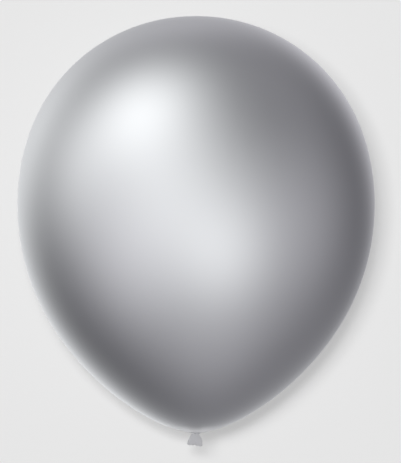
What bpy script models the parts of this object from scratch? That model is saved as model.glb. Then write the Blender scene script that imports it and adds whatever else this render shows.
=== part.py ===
"""Round metallic latex balloon, blown up and tied off in its own neck, held in the air.

Units are metres, +Z is up and -Y is the front. The origin is the tied neck, on the balloon's axis:
the bulb stands above it, and the knot, the free tail and its rolled lip hang below it.
"""
import math

import bpy

MM = 0.001
GAP = 0.3 * MM                # left between two pieces that the real balloon joins in one skin

# Blown-up bulb
BULB_DIAMETER = 280 * MM
CROWN_Z = 327.2 * MM
BULB_LOW_Z = 1.6 * MM         # where the round of the bulb would close, if it were not drawn to the neck
FILM = 0.4 * MM
# How full the pear outline is against a ball, at five even steps from the neck to the crown
FULLNESS = (0.383, 0.932, 0.760, 0.961, 1.000)
BULB_STATIONS = 36
BULB_CROWDING = 1.45          # above 1, the stations crowd toward the neck
BULB_SIDES = 56
BULB_MERGE = 0.05 * MM        # points of the turned outline that meet on the axis

# Neck, where the film is drawn down and gathered
NECK_RADIUS = 3.1 * MM
NECK_DRAW = 1.15 * MM         # how far the pull of the knot lowers the bulb round the neck
NECK_DRAW_REACH = 11 * MM
NECK_PINCH = 0.4 * MM         # the last turn down into the neck
NECK_PINCH_REACH = 0.5 * MM
NECK_LENGTH = 0.9 * MM
NECK_LEAN = 0.8 * MM          # the neck's lower end leans forward, to where the strand starts
# Share of the neck's length from the top, and share of its width there
NECK_TAPER = ((0, 0.95), (0.35, 0.92), (0.75, 0.88), (1, 0.80))
NECK_PLEATS = 9
NECK_PLEAT_DEPTH = 0.06       # share of the radius
NECK_SIDES = 54

# Overhand knot in the gathered neck
STRAND_RADIUS = 0.8 * MM
STRAND_ROUNDING = 3
KNOT_RING = 2.12 * MM         # radius of the ring that the strand winds round
KNOT_WIND = 0.98 * MM         # how far the strand winds in, out, up and down from that ring
KNOT_POINTS = 64
KNOT_OPENING = math.radians(6)     # half of the angle by which the closed knot is cut open
KNOT_FIRST_TURN = math.radians(7)
KNOT_LAST_TURN = math.radians(338)
LEAD_POINTS = 9               # along each of the two ends that leave the knot
LEAD_IN_ANGLE = math.radians(-4)
LEAD_IN_RADIUS = 2.5 * MM
LEAD_IN_PULLS = (0.5 * MM, 1.35 * MM)
LEAD_OUT_ANGLE = math.radians(-25)
LEAD_OUT_RADIUS = 3.34 * MM
LEAD_OUT_DROP = 1.5 * MM
LEAD_OUT_PULLS = (1.45 * MM, 0.5 * MM)

# Free tail below the knot, and its rolled lip
LIP_CENTRE = (-0.9 * MM, -1.3 * MM, -9.0 * MM)
LIP_HALF_WIDTH = 5.2 * MM
LIP_HALF_DEPTH = 2.8 * MM
LIP_SLOPE = 0.43 * MM         # the lip hangs lower on the right than on the left
LIP_BOW = 0.15 * MM           # both ends of the mouth hang lower than its middle
LIP_RISE = 1.6 * MM           # the back edge of the mouth is that much higher
CREASE_DEPTH = 0.9 * MM       # fold in the middle of the front edge
CREASE_TURN = math.radians(11)
LIP_BEAD_RADIUS = 0.5 * MM
LIP_POINTS = 72
TAIL_FILM = 0.35 * MM
TAIL_FLARE = 2.4              # above 1, the tail opens soon after the knot
TAIL_FALL = 1.6               # above 1, it falls more steeply toward the lip
TAIL_PLEATS = 9
TAIL_PLEAT_DEPTH = 0.05       # share of the distance from the tail's middle
TAIL_COLLAR = 0.3 * MM        # straight start of the tail, under the knot's end
TAIL_SECTIONS = 9
TAIL_SIDES = 72


def metal_latex(name, colour, roughness):
    """Satin metallic latex, silver grey with a slight cast of blue."""
    material = bpy.data.materials.new(name)
    material.use_nodes = True
    shader = material.node_tree.nodes["Principled BSDF"]
    shader.inputs["Base Color"].default_value = (*colour, 1)
    shader.inputs["Metallic"].default_value = 0.9
    shader.inputs["Roughness"].default_value = roughness
    return material


def finish(piece, material):
    """Put the piece in the scene with its own material."""
    bpy.context.scene.collection.objects.link(piece)
    piece.data.materials.append(material)
    return piece


def add_mesh(name, points, faces, material):
    """A smooth shaded mesh object."""
    mesh = bpy.data.meshes.new(name)
    mesh.from_pydata(points, [], faces)
    mesh.shade_smooth()
    return finish(bpy.data.objects.new(name, mesh), material)


def ring_faces(ring_count, sides):
    """Quads between neighbouring rings, which run anticlockwise seen from above, top ring first."""
    return [
        (ring * sides + side, (ring + 1) * sides + side,
         (ring + 1) * sides + (side + 1) % sides, ring * sides + (side + 1) % sides)
        for ring in range(ring_count - 1)
        for side in range(sides)
    ]


def add_tube(name, points, radius, closed, material):
    """A round tube along a list of points, with filled ends where it is open."""
    curve = bpy.data.curves.new(name, "CURVE")
    curve.dimensions = "3D"
    curve.bevel_depth = radius
    curve.bevel_resolution = STRAND_ROUNDING
    curve.use_fill_caps = not closed
    spline = curve.splines.new("POLY")
    spline.points.add(len(points) - 1)
    for point, place in zip(spline.points, points):
        point.co = (*place, 1)
    spline.use_cyclic_u = closed
    return finish(bpy.data.objects.new(name, curve), material)


def add_solidify(piece, thickness):
    """Give an open sheet its wall, inwards from the sheet."""
    wall = piece.modifiers.new("film thickness", "SOLIDIFY")
    wall.thickness = thickness
    wall.offset = -1
    wall.use_even_offset = True
    wall.use_rim = True


def pear(share):
    """Half width of the bulb's outline, unscaled, at a share of the way from neck to crown."""
    top = len(FULLNESS) - 1
    fullness = sum(
        weight * math.comb(top, step) * share**step * (1 - share)**(top - step)
        for step, weight in enumerate(FULLNESS)
    )
    return math.sqrt(max(0, share * (1 - share) * fullness))


WIDEST_PEAR = max(pear(step / 1000) for step in range(1001))


def bulb_radius(share):
    return BULB_DIAMETER / 2 * pear(share) / WIDEST_PEAR


def bulb_height(share):
    """Height of the outline, lowered round the neck by the pull of the knot."""
    radius = bulb_radius(share)
    draw = NECK_DRAW * math.exp(-(radius / NECK_DRAW_REACH)**2)
    lower_half = share < 0.5
    pinch = NECK_PINCH / (1 + (radius - NECK_RADIUS) / NECK_PINCH_REACH) if lower_half else 0
    return BULB_LOW_Z + (CROWN_Z - BULB_LOW_Z) * share - draw - pinch


def share_at_neck():
    """The share of the height at which the outline is as wide as the neck, by halving."""
    low, high = 0.0, 0.1
    for _ in range(50):
        middle = (low + high) / 2
        low, high = (middle, high) if bulb_radius(middle) < NECK_RADIUS else (low, middle)
    return high


def make_envelope():
    """The blown-up film: a turned pear outline, open at the neck, with a wall inwards."""
    start = math.acos(1 - 2 * share_at_neck())
    profile = []
    for station in range(BULB_STATIONS + 1):
        turn = start + (math.pi - start) * (station / BULB_STATIONS)**BULB_CROWDING
        share = (1 - math.cos(turn)) / 2
        profile.append((bulb_radius(share), 0, bulb_height(share)))
    profile[-1] = (0, 0, CROWN_Z)
    profile.reverse()
    mesh = bpy.data.meshes.new("envelope")
    mesh.from_pydata(profile, [(k, k + 1) for k in range(len(profile) - 1)], [])
    piece = finish(bpy.data.objects.new("envelope", mesh),
                   metal_latex("stretched film", (0.42, 0.43, 0.45), 0.38))
    turned = piece.modifiers.new("turned outline", "SCREW")
    turned.steps = turned.render_steps = BULB_SIDES
    turned.use_merge_vertices = True
    turned.merge_threshold = BULB_MERGE
    turned.use_smooth_shade = True
    add_solidify(piece, FILM)
    return bulb_height(share_at_neck())


def make_neck(top):
    """Short gathered throat between the film's edge and the knot, pleated all round."""
    points = []
    for depth, width in NECK_TAPER:
        for side in range(NECK_SIDES):
            turn = 2 * math.pi * side / NECK_SIDES
            radius = NECK_RADIUS * width * (1 + NECK_PLEAT_DEPTH * math.cos(NECK_PLEATS * turn))
            points.append((radius * math.cos(turn), radius * math.sin(turn) - NECK_LEAN * depth,
                           top - NECK_LENGTH * depth))
    last = (len(NECK_TAPER) - 1) * NECK_SIDES
    faces = ring_faces(len(NECK_TAPER), NECK_SIDES)
    faces += [tuple(range(NECK_SIDES)), tuple(range(last + NECK_SIDES - 1, last - 1, -1))]
    add_mesh("neck", points, faces, metal_latex("gathered neck", (0.30, 0.31, 0.33), 0.5))
    return top - NECK_LENGTH


def bezier(points, count):
    """Points along a cubic curve, both ends included."""
    out = []
    for step in range(count):
        t = step / (count - 1)
        weights = ((1 - t)**3, 3 * t * (1 - t)**2, 3 * t * t * (1 - t), t**3)
        out.append(tuple(sum(w * p[axis] for w, p in zip(weights, points)) for axis in range(3)))
    return out


def on_ring(angle, radius, z):
    """A point at an angle from the front, at a radius from the balloon's axis."""
    return (radius * math.sin(angle), -radius * math.cos(angle), z)


def beyond(point, heading, distance):
    return tuple(p + distance * h for p, h in zip(point, heading))


def knot_route(top):
    """The strand's middle line: down from the neck's front, through an overhand knot, and down again."""
    middle = top - KNOT_WIND - STRAND_RADIUS

    def wound(turn):
        angle = KNOT_OPENING + 2 * turn - KNOT_OPENING * turn / math.pi
        return on_ring(angle, KNOT_RING + KNOT_WIND * math.cos(3 * turn),
                       middle - KNOT_WIND * math.sin(3 * turn))

    def heading(turn):
        step = [after - before for after, before in zip(wound(turn + 0.001), wound(turn - 0.001))]
        length = math.hypot(*step)
        return [part / length for part in step]

    loops = [wound(KNOT_FIRST_TURN + (KNOT_LAST_TURN - KNOT_FIRST_TURN) * step / (KNOT_POINTS - 1))
             for step in range(KNOT_POINTS)]
    start = on_ring(LEAD_IN_ANGLE, LEAD_IN_RADIUS, top)
    end = on_ring(LEAD_OUT_ANGLE, LEAD_OUT_RADIUS, middle - LEAD_OUT_DROP)
    lead_in = bezier((start, beyond(start, (0, 0, -1), LEAD_IN_PULLS[0]),
                      beyond(loops[0], heading(KNOT_FIRST_TURN), -LEAD_IN_PULLS[1]), loops[0]), LEAD_POINTS)
    lead_out = bezier((loops[-1], beyond(loops[-1], heading(KNOT_LAST_TURN), LEAD_OUT_PULLS[0]),
                       beyond(end, (0, 0, 1), LEAD_OUT_PULLS[1]), end), LEAD_POINTS)
    return lead_in[:-1] + loops + lead_out[1:]


def make_knot(top):
    """Overhand knot tied in the gathered neck."""
    route = knot_route(top)
    add_tube("knot", route, STRAND_RADIUS, False, metal_latex("knotted latex", (0.24, 0.25, 0.27), 0.55))
    return route[-1]


def lip_point(turn):
    """A point of the lip's middle line; turn 0 is the right, and a quarter back from it the front."""
    x, y, z = LIP_CENTRE
    from_front = math.remainder(turn + math.pi / 2, 2 * math.pi)
    crease = CREASE_DEPTH * math.exp(-(from_front / CREASE_TURN)**2)
    rise = LIP_RISE * max(0, math.sin(turn))**2
    return (x + LIP_HALF_WIDTH * math.cos(turn), y + LIP_HALF_DEPTH * math.sin(turn) + crease,
            z - LIP_SLOPE * math.cos(turn) - LIP_BOW * math.cos(2 * turn) + rise + crease)


def make_tail(throat):
    """Thin flared end of the neck below the knot, pleated, open at the throat and at the mouth."""
    collar_ring = [
        (throat[0] + STRAND_RADIUS * math.cos(2 * math.pi * side / TAIL_SIDES),
         throat[1] + STRAND_RADIUS * math.sin(2 * math.pi * side / TAIL_SIDES),
         throat[2] - GAP)
        for side in range(TAIL_SIDES)
    ]
    points = list(collar_ring)
    for section in range(TAIL_SECTIONS):
        share = section / (TAIL_SECTIONS - 1)
        out_share = 1 - (1 - share)**TAIL_FLARE
        down_share = share**TAIL_FALL
        middle_x = throat[0] + (LIP_CENTRE[0] - throat[0]) * out_share
        middle_y = throat[1] + (LIP_CENTRE[1] - throat[1]) * out_share
        for side, (collar_x, collar_y, collar_z) in enumerate(collar_ring):
            turn = 2 * math.pi * side / TAIL_SIDES
            lip_x, lip_y, lip_z = lip_point(turn)
            pleat = 1 + TAIL_PLEAT_DEPTH * math.sin(math.pi * share) * math.cos(TAIL_PLEATS * turn)
            x = collar_x + (lip_x - collar_x) * out_share
            y = collar_y + (lip_y - collar_y) * out_share
            collar_low = collar_z - TAIL_COLLAR
            mouth_z = lip_z + LIP_BEAD_RADIUS + GAP
            points.append((middle_x + (x - middle_x) * pleat, middle_y + (y - middle_y) * pleat,
                           collar_low + (mouth_z - collar_low) * down_share))
    piece = add_mesh("tail", points, ring_faces(TAIL_SECTIONS + 1, TAIL_SIDES),
                     metal_latex("tail film", (0.36, 0.37, 0.38), 0.5))
    add_solidify(piece, TAIL_FILM)


def make_rolled_lip():
    """Bead that the maker rolls on the rim of the neck."""
    turns = [2 * math.pi * step / LIP_POINTS for step in range(LIP_POINTS)]
    add_tube("rolled_lip", [lip_point(turn) for turn in turns], LIP_BEAD_RADIUS, True,
             metal_latex("rolled lip", (0.45, 0.46, 0.47), 0.45))


for old in list(bpy.data.objects):
    bpy.data.objects.remove(old)

film_edge = make_envelope()
neck_bottom = make_neck(film_edge - GAP)
knot_end = make_knot(neck_bottom - GAP)
make_tail(knot_end)
make_rolled_lip()
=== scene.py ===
"""The looks of a round metallic latex balloon, tied off in its own neck and held in the air.

Metres, +Z up, -Y the front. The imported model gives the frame: the neck is at the origin, the bulb
stands above it, and the knot, the tail and the rolled lip hang below it.
"""
import math
import random

import bmesh
import bpy
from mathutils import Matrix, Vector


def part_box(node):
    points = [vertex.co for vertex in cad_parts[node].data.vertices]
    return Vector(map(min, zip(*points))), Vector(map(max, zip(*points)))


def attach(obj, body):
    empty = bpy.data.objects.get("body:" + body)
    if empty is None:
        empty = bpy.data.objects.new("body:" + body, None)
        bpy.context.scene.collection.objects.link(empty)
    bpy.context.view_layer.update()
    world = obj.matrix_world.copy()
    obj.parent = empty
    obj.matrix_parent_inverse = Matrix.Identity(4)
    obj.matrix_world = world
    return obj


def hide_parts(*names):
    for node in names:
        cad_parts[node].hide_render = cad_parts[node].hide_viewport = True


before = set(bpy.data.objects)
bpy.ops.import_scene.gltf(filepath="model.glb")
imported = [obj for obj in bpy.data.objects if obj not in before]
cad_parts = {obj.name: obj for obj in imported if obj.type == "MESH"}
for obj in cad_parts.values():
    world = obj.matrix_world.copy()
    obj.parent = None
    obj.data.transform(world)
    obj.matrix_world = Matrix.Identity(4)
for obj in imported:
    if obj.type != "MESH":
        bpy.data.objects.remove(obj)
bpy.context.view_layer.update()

# Bulb: one skin of thin latex with metal pigment in it, dipped on a former and stretched by the gas.
# The pull of the knot draws it down at the bottom and gathers it in fine pleats into the neck.
_, bulb_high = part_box("envelope")
MM = 0.001
BULB_RADIUS = bulb_high.x
CROWN_Z = bulb_high.z
BULB_LOW_Z = 1.2 * MM              # where the round of the bulb would close without the neck
FULLNESS = (0.383, 0.932, 0.760, 0.961, 1.000)     # against a ball, at five even steps, neck to crown
NECK_RADIUS = 3.1 * MM
NECK_DRAW = 0.7 * MM               # how far the knot pulls the film down round the neck
NECK_DRAW_REACH = 11 * MM
NECK_PINCH = 0.4 * MM              # the last turn down into the neck
NECK_PINCH_REACH = 0.5 * MM
FILM = 0.4 * MM
BULB_RINGS = 64
RING_CROWDING = 1.6                # above 1, the rings crowd toward the neck
CROWN_PINCH = 0.1                  # how small the last ring gets before it is merged into the pole
PLEATS = 24
PLEAT_REACH = 6 * MM               # how far from the neck the pleats fade out
PLEAT_FAINTEST = 0.02              # share of their depth under which they are left out
PLEAT_DEPTH = 0.07                 # share of the radius, at the neck
PLEAT_RISE = 0.28 * MM             # how far their valleys rise from the skin, at the neck
STEPS_A_PLEAT = 6
THICK_BY_NECK = (12 * MM, 31 * MM, 0.9)    # how far off it starts to thin and is thin, and how thick
THICK_AT_CROWN = (1.5 * MM, 9 * MM, 0.2)
CLOUD_SCALE = 30                   # patches of the pattern in a metre, also of the next two
STREAK_SCALE = 170
FLAKE_SCALE = 2200
STREAK_STRETCH = 0.06              # of the streaks' scale upwards, so that they run up and down
CLOUD_SHARE = 0.1                  # of the step from the thin film's tone to the thick one's
STREAK_SHARE = 0.12
FLAKE_HEIGHT = 0.03 * MM
EDGE_SHINE = 0.77                  # of a solid metal's at the rims: the flakes lie inside the latex


def pear(share):
    """Unscaled half width of the outline at a share of the way from the neck to the crown."""
    top = len(FULLNESS) - 1
    fullness = sum(weight * math.comb(top, step) * share**step * (1 - share)**(top - step)
                   for step, weight in enumerate(FULLNESS))
    return math.sqrt(max(0, share * (1 - share) * fullness))


WIDEST_PEAR = max(pear(step / 1000) for step in range(1001))


def outline(share):
    """Radius and height of the outline at that share."""
    radius = BULB_RADIUS * pear(share) / WIDEST_PEAR
    draw = NECK_DRAW * math.exp(-(radius / NECK_DRAW_REACH)**2)
    pinch = NECK_PINCH / (1 + (radius - NECK_RADIUS) / NECK_PINCH_REACH) if share < 0.5 else 0
    return radius, BULB_LOW_Z + (CROWN_Z - BULB_LOW_Z) * share - draw - pinch


def start_circle(name, sides, radius, place):
    """A round ring of edges in edit mode, all selected, as the start of a piece."""
    bpy.ops.object.select_all(action="DESELECT")
    bpy.ops.mesh.primitive_circle_add(vertices=sides, radius=radius, location=place)
    piece = bpy.context.object
    piece.name = piece.data.name = name
    bpy.ops.object.transform_apply(location=True)
    bpy.ops.object.mode_set(mode="EDIT")
    bpy.ops.mesh.select_all(action="SELECT")
    return piece


def extrude_ring(move, stretch, pivot):
    """Extrude the selected ring by a move, then widen or narrow it about a pivot."""
    bpy.ops.mesh.extrude_edges_move(TRANSFORM_OT_translate={"value": move})
    bpy.ops.transform.resize(value=(stretch, stretch, 1), center_override=pivot)


def pick(piece, wanted):
    """Select only the points of the piece that are wanted."""
    mesh = bmesh.from_edit_mesh(piece.data)
    mesh.verts.index_update()
    bpy.ops.mesh.select_mode(type="VERT")
    bpy.ops.mesh.select_all(action="DESELECT")
    for point in mesh.verts:
        point.select = wanted(point)
    mesh.select_flush_mode()
    bmesh.update_edit_mesh(piece.data)


def press_pleats(piece, ring, middle, pulls, depth, rise=0):
    """Draw in and raise the valleys of one extruded ring's pleats, each by its own pull."""
    sides = len(pulls) * STEPS_A_PLEAT
    for pull in sorted(set(pulls)):
        pick(piece, lambda point: point.index // sides == ring and point.index % STEPS_A_PLEAT == 0
             and pulls[point.index % sides // STEPS_A_PLEAT] == pull)
        bpy.ops.transform.resize(value=(1 - depth * pull, 1 - depth * pull, 1),
                                 center_override=(*middle, 0))
        if rise:
            bpy.ops.transform.translate(value=(0, 0, rise * pull))


def close_and_smooth(piece, wall=0):
    """Turn the faces outwards, apply the smoothing and the wall, and shade smooth."""
    bpy.ops.mesh.select_all(action="SELECT")
    bpy.ops.mesh.normals_make_consistent(inside=False)
    bpy.ops.object.mode_set(mode="OBJECT")
    smooth = piece.modifiers.new("smooth skin", "SUBSURF")
    smooth.levels = smooth.render_levels = 1
    bpy.ops.object.modifier_apply(modifier=smooth.name)
    if wall:
        film = piece.modifiers.new("film", "SOLIDIFY")
        film.thickness = wall
        film.offset = -1
        bpy.ops.object.modifier_apply(modifier=film.name)
    bpy.ops.object.shade_smooth()


def new_pulls(draws, count):
    """How strongly each pleat is drawn in: a hand-tied neck gathers them unevenly."""
    return [draws.choice((0.5, 0.75, 1)) for _ in range(count)]


def join(tree, kind, inputs=None, **settings):
    """Add a shader node with its settings; inputs holds values, or the outputs that feed them."""
    node = tree.nodes.new(kind)
    for key, value in settings.items():
        setattr(node, key, value)
    for socket, value in (inputs or {}).items():
        if isinstance(value, bpy.types.NodeSocket):
            tree.links.new(value, node.inputs[socket])
        else:
            node.inputs[socket].default_value = value
    return node


def fade_out(tree, distance, near, far, most, curve="SMOOTHSTEP"):
    """The most up to the near distance, and from there down to nothing at the far one."""
    return join(tree, "ShaderNodeMapRange", {"Value": distance, "From Min": near, "From Max": far,
                                             "To Min": most, "To Max": 0},
                interpolation_type=curve).outputs[0]


def noise(tree, place, scale, detail):
    """A soft random pattern."""
    return join(tree, "ShaderNodeTexNoise", {"Vector": place, "Scale": scale, "Detail": detail}).outputs[0]


def metal_latex(name, thin, thick, roughness, thick_roughness, metallic, thick_metallic, flake_bump):
    """Latex with fine metal flakes, faint dip streaks, and a duller, other tone where it is thick."""
    material = bpy.data.materials.new(name)
    material.use_nodes = True
    tree = material.node_tree
    shader = tree.nodes["Principled BSDF"]
    place = join(tree, "ShaderNodeTexCoord").outputs["Object"]
    clouds = noise(tree, place, CLOUD_SCALE, detail=3)
    upright = join(tree, "ShaderNodeMapping", {"Vector": place, "Scale": (1, 1, STREAK_STRETCH)}).outputs[0]
    streaks = noise(tree, upright, STREAK_SCALE, detail=2)
    flakes = noise(tree, place, FLAKE_SCALE, detail=1)
    from_neck = join(tree, "ShaderNodeVectorMath", {0: place}, operation="LENGTH").outputs["Value"]
    from_crown = join(tree, "ShaderNodeVectorMath", {0: place, 1: (0, 0, CROWN_Z)},
                      operation="DISTANCE").outputs["Value"]
    thickness = join(tree, "ShaderNodeMath", {0: fade_out(tree, from_neck, *THICK_BY_NECK),
                                              1: fade_out(tree, from_crown, *THICK_AT_CROWN)},
                     operation="MAXIMUM").outputs[0]
    cloudy = join(tree, "ShaderNodeMath", {0: clouds, 1: CLOUD_SHARE, 2: thickness},
                  operation="MULTIPLY_ADD").outputs[0]
    mottled = join(tree, "ShaderNodeMath", {0: streaks, 1: STREAK_SHARE, 2: cloudy},
                   operation="MULTIPLY_ADD").outputs[0]
    colour = join(tree, "ShaderNodeMix", {"Factor": mottled, 6: (*thin, 1), 7: (*thick, 1)},
                  data_type="RGBA").outputs[2]
    gloss = join(tree, "ShaderNodeMapRange", {"Value": mottled, "To Min": roughness,
                                              "To Max": thick_roughness}).outputs[0]
    metal = join(tree, "ShaderNodeMapRange", {"Value": thickness, "To Min": metallic,
                                              "To Max": thick_metallic}).outputs[0]
    bump = join(tree, "ShaderNodeBump", {"Height": flakes, "Strength": flake_bump,
                                         "Distance": FLAKE_HEIGHT})
    tree.links.new(metal, shader.inputs["Metallic"])
    tree.links.new(colour, shader.inputs["Base Color"])
    tree.links.new(gloss, shader.inputs["Roughness"])
    tree.links.new(bump.outputs[0], shader.inputs["Normal"])
    shader.inputs["Diffuse Roughness"].default_value = 1
    shader.inputs["Specular Tint"].default_value = (EDGE_SHINE, EDGE_SHINE, EDGE_SHINE, 1)
    return material


def at_neck():
    """The share of the height at which the outline is as wide as the neck, by halving."""
    low, high = 0.0, 0.1               # the neck lies in the lowest tenth
    for _ in range(50):
        middle = (low + high) / 2
        low, high = (middle, high) if outline(middle)[0] < NECK_RADIUS else (low, middle)
    return high


first_turn = math.acos(1 - 2 * at_neck())
rings = []
for ring in range(BULB_RINGS):
    turn = first_turn + (math.pi - first_turn) * (ring / BULB_RINGS)**RING_CROWDING
    rings.append(outline((1 - math.cos(turn)) / 2))

bulb = start_circle("bulb_film", PLEATS * STEPS_A_PLEAT, rings[0][0], (0, 0, rings[0][1]))
for (radius, z), (next_radius, next_z) in zip(rings, rings[1:]):
    extrude_ring((0, 0, next_z - z), next_radius / radius, (0, 0, next_z))
extrude_ring((0, 0, CROWN_Z - rings[-1][1]), CROWN_PINCH, (0, 0, CROWN_Z))
bpy.ops.mesh.merge(type="CENTER")

draws = random.Random(4)
pulls = new_pulls(draws, PLEATS)
for ring, (radius, _) in enumerate(rings):
    fade = math.exp(-((radius - NECK_RADIUS) / PLEAT_REACH)**2)
    if fade < PLEAT_FAINTEST:
        break
    press_pleats(bulb, ring, (0, 0), pulls, PLEAT_DEPTH * fade * NECK_RADIUS / radius, PLEAT_RISE * fade)
close_and_smooth(bulb, FILM)
stretched = metal_latex("stretched_film", thin=(0.62, 0.62, 0.62), thick=(0.66, 0.66, 0.675),
                        roughness=0.38, thick_roughness=0.5, metallic=1, thick_metallic=0.1,
                        flake_bump=0.25)
bulb.data.materials.append(stretched)
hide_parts("envelope")
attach(bulb, "root")

# Neck: the end of the bulb's film between the bulb and the knot, gathered in the same pleats and
# twisted a little as it is tied. It closes the throat, and ends in the middle of the knot.
neck_low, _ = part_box("neck")
NECK_TAPER = ((0.55, 2.95), (0.31, 3.36), (0.02, 3.12), (-0.3, 2.85), (-0.6, 2.65), (-0.95, 2.5),
              (-1.4, 2.1), (-2.1, 1.5))      # height and radius, mm
NECK_LEAN = (-0.3 * MM, -0.35 * MM)    # to the left and forward, for each millimetre that it goes down
NECK_TURN = math.radians(4)            # twist from one ring to the next
NECK_PLEAT_DEPTH = 0.12

neck_rings = [(radius * MM, z * MM) for z, radius in NECK_TAPER]
neck = start_circle("neck_gathers", PLEATS * STEPS_A_PLEAT, neck_rings[0][0], (0, 0, neck_rings[0][1]))
press_pleats(neck, 0, (0, 0), pulls, NECK_PLEAT_DEPTH)
bpy.ops.mesh.select_all(action="SELECT")
middle = (0, 0)
for (radius, z), (next_radius, next_z) in zip(neck_rings, neck_rings[1:]):
    lean = [part * max(0, -next_z / MM) - at for part, at in zip(NECK_LEAN, middle)]
    middle = [at + part for at, part in zip(middle, lean)]
    extrude_ring((*lean, next_z - z), next_radius / radius, (*middle, next_z))
    bpy.ops.transform.rotate(value=NECK_TURN if next_z < 0 else 0, orient_axis="Z",
                             center_override=(*middle, next_z))
bpy.ops.mesh.edge_face_add()
bpy.ops.mesh.poke()
pick(neck, lambda point: point.index < PLEATS * STEPS_A_PLEAT)
bpy.ops.mesh.edge_face_add()
bpy.ops.mesh.poke()
close_and_smooth(neck)
gathered = metal_latex("gathered_latex", thin=(0.72, 0.73, 0.75), thick=(0.62, 0.63, 0.65),
                       roughness=0.48, thick_roughness=0.56, metallic=0.6, thick_metallic=0.6,
                       flake_bump=0.4)
neck.data.materials.append(gathered)
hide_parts("neck")
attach(neck, "root")

# Knot: an overhand knot in the gathered neck, pulled tight. The strand is a thick bundle of creased
# film, which winds round a ring, passes through its own loop, and leaves at the front.
knot_low, knot_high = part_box("knot")
STRAND_RADIUS = 1.06 * MM
KNOT_RING = 1.95 * MM              # radius of the ring that the strand winds round
KNOT_WIND = 0.88 * MM              # how far it winds in, out, up and down from that ring
KNOT_MIDDLE = (-0.3 * MM, 0.3 * MM, (knot_low.z + knot_high.z) / 2)
KNOT_OPENING = math.radians(6)     # half of the angle by which the closed knot is cut open
KNOT_FIRST_TURN = math.radians(7)
KNOT_LAST_TURN = math.radians(338)
KNOT_CUTS = 28                     # between the five points that a new path has
STRAND_CREASES = 9
STRAND_CREASE_DEPTH = 0.13
STRAND_TWIST = math.radians(4)     # from one point of the route to the next
STRAND_SWELL = 0.05                # share of the radius by which it swells and thins along its way
SWELL_PACE = 5                     # points of the route in one radian of that wave
STRAND_START = (                   # down out of the neck, and forward
    (-0.3 * MM, -0.8 * MM, neck_low.z + 0.2 * MM),
    (-0.1 * MM, -1.9 * MM, neck_low.z - 0.5 * MM),
)
THROAT = (-2.0 * MM, -3.0 * MM, -1.55 * MM)        # where the strand opens into the tail
STRAND_END = ((THROAT[0], THROAT[1] + 0.6 * MM, THROAT[2] - 0.2 * MM), THROAT)
SMOOTH_UP_TO = math.radians(60)    # creases sharper than this keep a hard edge
SAME_PLACE = 0.001 * MM            # points nearer than this to each other are one


def in_knot(angle, radius, up):
    """A point at an angle from the front and a radius, round the middle of the knot."""
    return (KNOT_MIDDLE[0] + radius * math.sin(angle), KNOT_MIDDLE[1] - radius * math.cos(angle),
            KNOT_MIDDLE[2] + up)


def wound(turn):
    """The strand's middle line in the knot: twice round, while it winds in and out three times."""
    angle = KNOT_OPENING + 2 * turn - KNOT_OPENING * turn / math.pi
    return in_knot(angle, KNOT_RING + KNOT_WIND * math.cos(3 * turn), -KNOT_WIND * math.sin(3 * turn))


section = start_circle("strand_section", STRAND_CREASES * STEPS_A_PLEAT, STRAND_RADIUS, (0, 0, 0))
press_pleats(section, 0, (0, 0), new_pulls(draws, STRAND_CREASES), STRAND_CREASE_DEPTH)
bpy.ops.object.mode_set(mode="OBJECT")
bpy.ops.object.convert(target="CURVE")

bpy.ops.object.select_all(action="DESELECT")
bpy.ops.curve.primitive_nurbs_path_add(radius=MM)
knot = bpy.context.object
knot.name = knot.data.name = "knot_strand"
bpy.ops.object.mode_set(mode="EDIT")
bpy.ops.curve.select_all(action="SELECT")
bpy.ops.curve.subdivide(number_cuts=KNOT_CUTS)
bpy.ops.object.mode_set(mode="OBJECT")
points = knot.data.splines[0].points
last = len(points) - len(STRAND_START) - len(STRAND_END) - 1
winding = [wound(KNOT_FIRST_TURN + (KNOT_LAST_TURN - KNOT_FIRST_TURN) * step / last)
           for step in range(last + 1)]
for step, (point, place) in enumerate(zip(points, [*STRAND_START, *winding, *STRAND_END])):
    point.co = (*place, 1)
    point.tilt = STRAND_TWIST * step
    point.radius = 1 + STRAND_SWELL * math.sin(step / SWELL_PACE)
knot.data.bevel_mode = "OBJECT"
knot.data.bevel_object = section
knot.data.use_fill_caps = True
knot.data.resolution_u = 2
bpy.ops.object.convert(target="MESH")
bpy.data.objects.remove(section)
bpy.ops.object.mode_set(mode="EDIT")
bpy.ops.mesh.select_all(action="SELECT")
bpy.ops.mesh.remove_doubles(threshold=SAME_PLACE)
bpy.ops.mesh.normals_make_consistent(inside=False)
bpy.ops.object.mode_set(mode="OBJECT")
bpy.ops.object.shade_smooth_by_angle(angle=SMOOTH_UP_TO)
knot.data.materials.append(gathered)
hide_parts("knot")
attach(knot, "root")

# Tail: the free end of the neck. It leaves the knot at its front, just under the bulb, bends down
# and opens into a small flat fan that hides the knot from the front. The film is hardly stretched.
TAIL_RINGS = (                     # middle x, y and z, half width and depth (mm), front edge up (degrees)
    (*(part / MM for part in THROAT), 1.1, 1.1, 75),
    (-1.45, -3.60, -0.75, 2.10, 1.00, 65),
    (-0.90, -4.15, -0.28, 3.10, 1.05, 48),
    (-0.75, -4.65, -0.95, 3.60, 1.00, 20),
    (-0.60, -4.80, -2.30, 4.30, 1.05, 5),
    (-0.40, -4.60, -3.90, 5.15, 1.25, 0),
    (-0.65, -4.00, -5.50, 5.70, 1.60, -5),
    (-1.00, -3.10, -7.05, 5.85, 2.10, -12),
    (-1.10, -2.20, -8.00, 5.50, 2.45, -17),
)
LIP_SLOPE = math.radians(6)        # the lip hangs lower on the right than on the left
TAIL_FILM = 0.25 * MM
TAIL_PLEATS = 12
TAIL_PLEAT_DEPTH = 0.2             # at the knot
TAIL_PLEAT_LOSS = 0.85             # share of it that is gone at the lip
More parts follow.
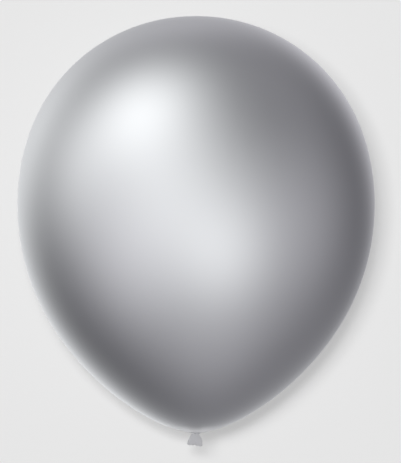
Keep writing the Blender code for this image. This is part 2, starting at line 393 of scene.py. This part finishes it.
MOUTH_PULLS = (                    # across the front edge (mm), pull (mm) and its reach (mm)
    (-1.00, (0, 0.6, 0.9), 1.5),               # the small fold near the middle
    (-5.60, (-0.1, 0, -0.4), 2.4),             # the two corners droop
    (3.60, (0.15, 0, -0.5), 2.4),
)

sides = TAIL_PLEATS * STEPS_A_PLEAT
first, *others = [[value * MM for value in row[:5]] + [math.radians(row[5])] for row in TAIL_RINGS]
tail = start_circle("tail_film", sides, first[3], first[:3])
last_ring = first
for ring in others:
    extrude_ring([now - before for now, before in zip(ring[:3], last_ring)], ring[3] / last_ring[3],
                 ring[:3])
    last_ring = ring
tail_pulls = new_pulls(draws, TAIL_PLEATS)
for count, (x, y, z, width, depth, front_up) in enumerate([first, *others]):
    down_share = count / len(others)
    press_pleats(tail, count, (x, y), tail_pulls, TAIL_PLEAT_DEPTH * (1 - TAIL_PLEAT_LOSS * down_share))
    pick(tail, lambda point: point.index // sides == count)
    bpy.ops.transform.resize(value=(1, depth / width, 1), center_override=(x, y, z))
    bpy.ops.transform.rotate(value=front_up, orient_axis="X", center_override=(x, y, z))
    bpy.ops.transform.rotate(value=-LIP_SLOPE * down_share, orient_axis="Y", center_override=(x, y, z))
for across, pull, reach in MOUTH_PULLS:
    mouth = [point.co.copy() for point in bmesh.from_edit_mesh(tail.data).verts
             if point.index // sides == len(others) and point.co.y < last_ring[1]]
    nearest = min(mouth, key=lambda at: abs(at.x - across * MM))
    pick(tail, lambda point: (point.co - nearest).length < SAME_PLACE)
    bpy.ops.transform.translate(value=[part * MM for part in pull], use_proportional_edit=True,
                                proportional_edit_falloff="SMOOTH", proportional_size=reach * MM)
pick(tail, lambda point: point.index // sides == len(others))
bpy.ops.mesh.duplicate()
bpy.ops.mesh.separate(type="SELECTED")
close_and_smooth(tail, TAIL_FILM)
loose = metal_latex("loose_latex", thin=(0.55, 0.55, 0.565), thick=(0.45, 0.45, 0.465),
                    roughness=0.5, thick_roughness=0.6, metallic=0.2, thick_metallic=0.2,
                    flake_bump=0.4)
tail.data.materials.append(loose)
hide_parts("tail")
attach(tail, "root")

# Rolled lip: the bead that the maker rolls down on the rim while the latex is wet. It follows the
# tail's mouth, and its thickness wavers a little from the rolling.
LIP_BEAD_RADIUS = 0.5 * MM
LIP_WAVER = 0.06                   # share of its radius
SLOW_WAVES = 3                     # of it round the rim
QUICK_WAVES = 7
QUICK_WAVE_SIZE = 0.6              # against a slow one

lip = next(obj for obj in bpy.context.selected_objects if obj != tail)
lip.name = lip.data.name = "lip_bead"
bpy.ops.object.select_all(action="DESELECT")
lip.select_set(True)
bpy.context.view_layer.objects.active = lip
bpy.ops.object.convert(target="CURVE")
bpy.ops.object.mode_set(mode="EDIT")
bpy.ops.curve.select_all(action="SELECT")
bpy.ops.curve.spline_type_set(type="NURBS")
bpy.ops.object.mode_set(mode="OBJECT")
lip.data.bevel_depth = LIP_BEAD_RADIUS
lip.data.bevel_resolution = 6
lip.data.resolution_u = 3
lip.data.use_fill_caps = False
for spline in lip.data.splines:
    for step, point in enumerate(spline.points):
        around = math.tau * step / len(spline.points)
        waves = math.sin(SLOW_WAVES * around) + QUICK_WAVE_SIZE * math.sin(QUICK_WAVES * around + 1)
        point.radius = 1 + LIP_WAVER * waves / (1 + QUICK_WAVE_SIZE)
bpy.ops.object.convert(target="MESH")
bpy.ops.object.mode_set(mode="EDIT")
bpy.ops.mesh.select_all(action="SELECT")
bpy.ops.mesh.remove_doubles(threshold=SAME_PLACE)
bpy.ops.mesh.normals_make_consistent(inside=False)
bpy.ops.object.mode_set(mode="OBJECT")
bpy.ops.object.shade_smooth()
lip.data.materials.append(loose)
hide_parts("rolled_lip")
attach(lip, "root")

# Camera: level with the balloon's middle, from far enough to flatten it, as in the photograph.
PHOTO_MIDDLE_X = 3.46 * MM         # the middle of the photograph, right of the balloon's axis
PHOTO_MIDDLE_Z = 158.4 * MM        # and above its neck
PHOTO_HEIGHT = 363.2 * MM          # what it shows from top to bottom, at the balloon
LENS = 200                         # mm, as the sensor's height
SENSOR = 36
CAMERA_AWAY = PHOTO_HEIGHT * LENS / SENSOR

camera_data = bpy.data.cameras.new("camera")
camera_data.lens = LENS
camera_data.sensor_fit = "VERTICAL"
camera_data.sensor_height = SENSOR
camera = bpy.data.objects.new("camera", camera_data)
camera.location = (PHOTO_MIDDLE_X, -CAMERA_AWAY, PHOTO_MIDDLE_Z)
camera.rotation_euler = (math.pi / 2, 0, 0)
bpy.context.scene.collection.objects.link(camera)
bpy.context.scene.camera = camera
bpy.context.scene.view_settings.view_transform = "Standard"

# Studio: a pale floor, and a pale backdrop close behind the balloon that catches its soft shadow.
# Both glow as brightly as the plain surroundings and so run into them, and are clear from behind.
PALE = 0.799                       # the photograph's plain grey, 231 of 255, as light
FLOOR_Z = -0.25
FLOOR_RADIUS = 1.3
BACKDROP_Y = 0.16
BACKDROP_HALF = 0.6
LAMP_SHARE = 0.4                   # of the light of a stage surface that comes from the lamps
LAMPLIT_REACH = 0.27               # share of a surface's radius at which that starts to fade
GLOW_REACH = 0.6                   # and at which the paper only glows
PAPER_SHADE = 0.8


def stage_paper(name, reach):
    """Pale paper, lit in part by the lamps, that runs into the plain surroundings at its edge."""
    material = bpy.data.materials.new(name)
    material.use_nodes = True
    tree = material.node_tree
    tree.nodes.clear()
    place = join(tree, "ShaderNodeTexCoord").outputs["Object"]
    centred = join(tree, "ShaderNodeMapping", {"Vector": place}, vector_type="POINT")
    away = join(tree, "ShaderNodeVectorMath", {0: centred.outputs[0]}, operation="LENGTH").outputs["Value"]
    lit = fade_out(tree, away, LAMPLIT_REACH * reach, GLOW_REACH * reach, LAMP_SHARE, "SMOOTHERSTEP")
    paper = join(tree, "ShaderNodeBsdfDiffuse", {"Color": (PAPER_SHADE, PAPER_SHADE, PAPER_SHADE, 1)})
    glow = join(tree, "ShaderNodeEmission", {"Color": (1, 1, 1, 1), "Strength": PALE})
    mixed = join(tree, "ShaderNodeMixShader", {0: lit, 1: glow.outputs[0], 2: paper.outputs[0]})
    behind = join(tree, "ShaderNodeNewGeometry").outputs["Backfacing"]
    clear = join(tree, "ShaderNodeBsdfTransparent")
    shown = join(tree, "ShaderNodeMixShader", {0: behind, 1: mixed.outputs[0], 2: clear.outputs[0]})
    join(tree, "ShaderNodeOutputMaterial", {"Surface": shown.outputs[0]})
    return material, centred


def stage_surface(name, radius, place, turn, material):
    """A large round sheet that the lamps light, and that no shine or shadow comes from."""
    bpy.ops.object.select_all(action="DESELECT")
    bpy.ops.mesh.primitive_circle_add(vertices=96, radius=radius, fill_type="NGON", location=place,
                                      rotation=turn)
    sheet = bpy.context.object
    sheet.name = sheet.data.name = name
    bpy.ops.object.transform_apply(location=True, rotation=True)
    sheet.data.materials.append(material)
    sheet.visible_glossy = sheet.visible_shadow = sheet.visible_diffuse = False


floor_paper, centred = stage_paper("floor_paper", FLOOR_RADIUS)
centred.inputs["Location"].default_value = (0, 0, -FLOOR_Z)
stage_surface("floor", FLOOR_RADIUS, (0, 0, FLOOR_Z), (0, 0, 0), floor_paper)
backdrop_paper, centred = stage_paper("backdrop_paper", BACKDROP_HALF)
centred.inputs["Location"].default_value = (-PHOTO_MIDDLE_X, -BACKDROP_Y, -PHOTO_MIDDLE_Z)
stage_surface("backdrop", BACKDROP_HALF, (PHOTO_MIDDLE_X, BACKDROP_Y, PHOTO_MIDDLE_Z), (math.pi / 2, 0, 0),
              backdrop_paper)

# Lamps: two small ones beside and above the camera throw the soft shadow on the backdrop, and a large
# one overhead lights the floor. They light the papers as brightly as the plain surroundings.
KEY_LAMPS = (                      # left of and above the camera, and size (mm), and share of the light
    ("side_lamp", 130, 85, 190, 0.6),
    ("top_lamp", 25, 100, 105, 0.4),
)
BULB_SHINE = 0.03                  # the share of the papers' light that the bulb itself throws on them
FLOOR_LAMP_SIZE = 1.5
FLOOR_LAMP_AWAY = 2.25             # above the floor
FLOOR_LAMP_Y = BACKDROP_Y + FLOOR_LAMP_SIZE / 2    # it stands behind the backdrop's face


def add_lamp(name, size, away, share, place, turn):
    """A round lamp, invisible in the shine, with the power for its share of the light on its paper."""
    lamp = bpy.data.lights.new(name, "AREA")
    lamp.shape = "DISK"
    lamp.size = size
    lamp.energy = share * (1 - BULB_SHINE) * PALE / PAPER_SHADE * math.pi**2 * (away**2 + size**2 / 4)
    stand = bpy.data.objects.new(name, lamp)
    stand.location = place
    stand.rotation_euler = turn
    stand.visible_glossy = False
    bpy.context.scene.collection.objects.link(stand)


for name, left, up, size, share in KEY_LAMPS:
    add_lamp(name, size * MM, CAMERA_AWAY + BACKDROP_Y, share,
             (PHOTO_MIDDLE_X - left * MM, -CAMERA_AWAY, PHOTO_MIDDLE_Z + up * MM), (math.pi / 2, 0, 0))
add_lamp("floor_lamp", FLOOR_LAMP_SIZE, FLOOR_LAMP_AWAY, 1,
         (0, FLOOR_LAMP_Y, FLOOR_Z + FLOOR_LAMP_AWAY), (0, 0, 0))

# Surroundings: plain and pale to the eye. What the satin film mirrors is thirteen soft studio lights
# all round it, each a round glow. Most of those on the shaded side are a little more violet.
WHITE = (0.98, 1.00, 1.01)
VIOLET = (0.98, 0.97, 1.03)
STUDIO_LIGHTS = (                  # toward the right of the front, up, half width (degrees), strength
    ("front fill", -10, 5, 35, 1.1, WHITE),
    ("floor bounce", 20, -25, 20, 0.95, WHITE),
    ("low back light", -170, -15, 20, 1.9, WHITE),
    ("high back light", -175, 45, 20, 0.65, VIOLET),
    ("right fill", 70, -10, 35, 0.5, VIOLET),
    ("key, high left", -50, 50, 25, 1.8, WHITE),
    ("low left fill", -50, -25, 30, 0.65, VIOLET),
    ("right rim", 160, 15, 15, 1.15, VIOLET),
    ("left side strip", -85, 15, 20, 0.8, WHITE),
    ("left rim", -140, 15, 20, 1.25, WHITE),
    ("from below", 40, -75, 25, 0.4, VIOLET),
    ("high right kicker", 105, 55, 25, 0.25, VIOLET),
    ("low right rim", 155, -30, 25, 0.25, VIOLET),
)
DIM_ROOM = (0, 0, 0.01)            # what is left between the lights

world = bpy.data.worlds.new("studio")
bpy.context.scene.world = world
world.use_nodes = True
world.cycles_visibility.diffuse = False
tree = world.node_tree
tree.nodes.clear()
toward = join(tree, "ShaderNodeVectorMath", {0: join(tree, "ShaderNodeTexCoord").outputs["Generated"]},
              operation="NORMALIZE").outputs[0]
light = DIM_ROOM
for name, azimuth, height, half_width, strength, hue in STUDIO_LIGHTS:
    azimuth, height = math.radians(azimuth), math.radians(height)
    tightness = math.log(2) / (1 - math.cos(math.radians(half_width)))
    from_middle = join(tree, "ShaderNodeVectorMath", {0: toward, 1: (
        math.sin(azimuth) * math.cos(height), -math.cos(azimuth) * math.cos(height), math.sin(height))},
        operation="DOT_PRODUCT", label=name).outputs["Value"]
    fall = join(tree, "ShaderNodeMath", {0: from_middle, 1: tightness, 2: -tightness},
                operation="MULTIPLY_ADD").outputs[0]
    glow = join(tree, "ShaderNodeMath", {0: fall}, operation="EXPONENT").outputs[0]
    light = join(tree, "ShaderNodeVectorMath", {0: glow, 1: [strength * part for part in hue], 2: light},
                 operation="MULTIPLY_ADD").outputs[0]
mirrored = join(tree, "ShaderNodeBackground", {"Color": light, "Strength": 1})
plain = join(tree, "ShaderNodeBackground", {"Color": (PALE, PALE, PALE, 1), "Strength": 1})
seen = join(tree, "ShaderNodeLightPath").outputs["Is Camera Ray"]
both = join(tree, "ShaderNodeMixShader", {0: seen, 1: mirrored.outputs[0], 2: plain.outputs[0]})
join(tree, "ShaderNodeOutputWorld", {"Surface": both.outputs[0]})
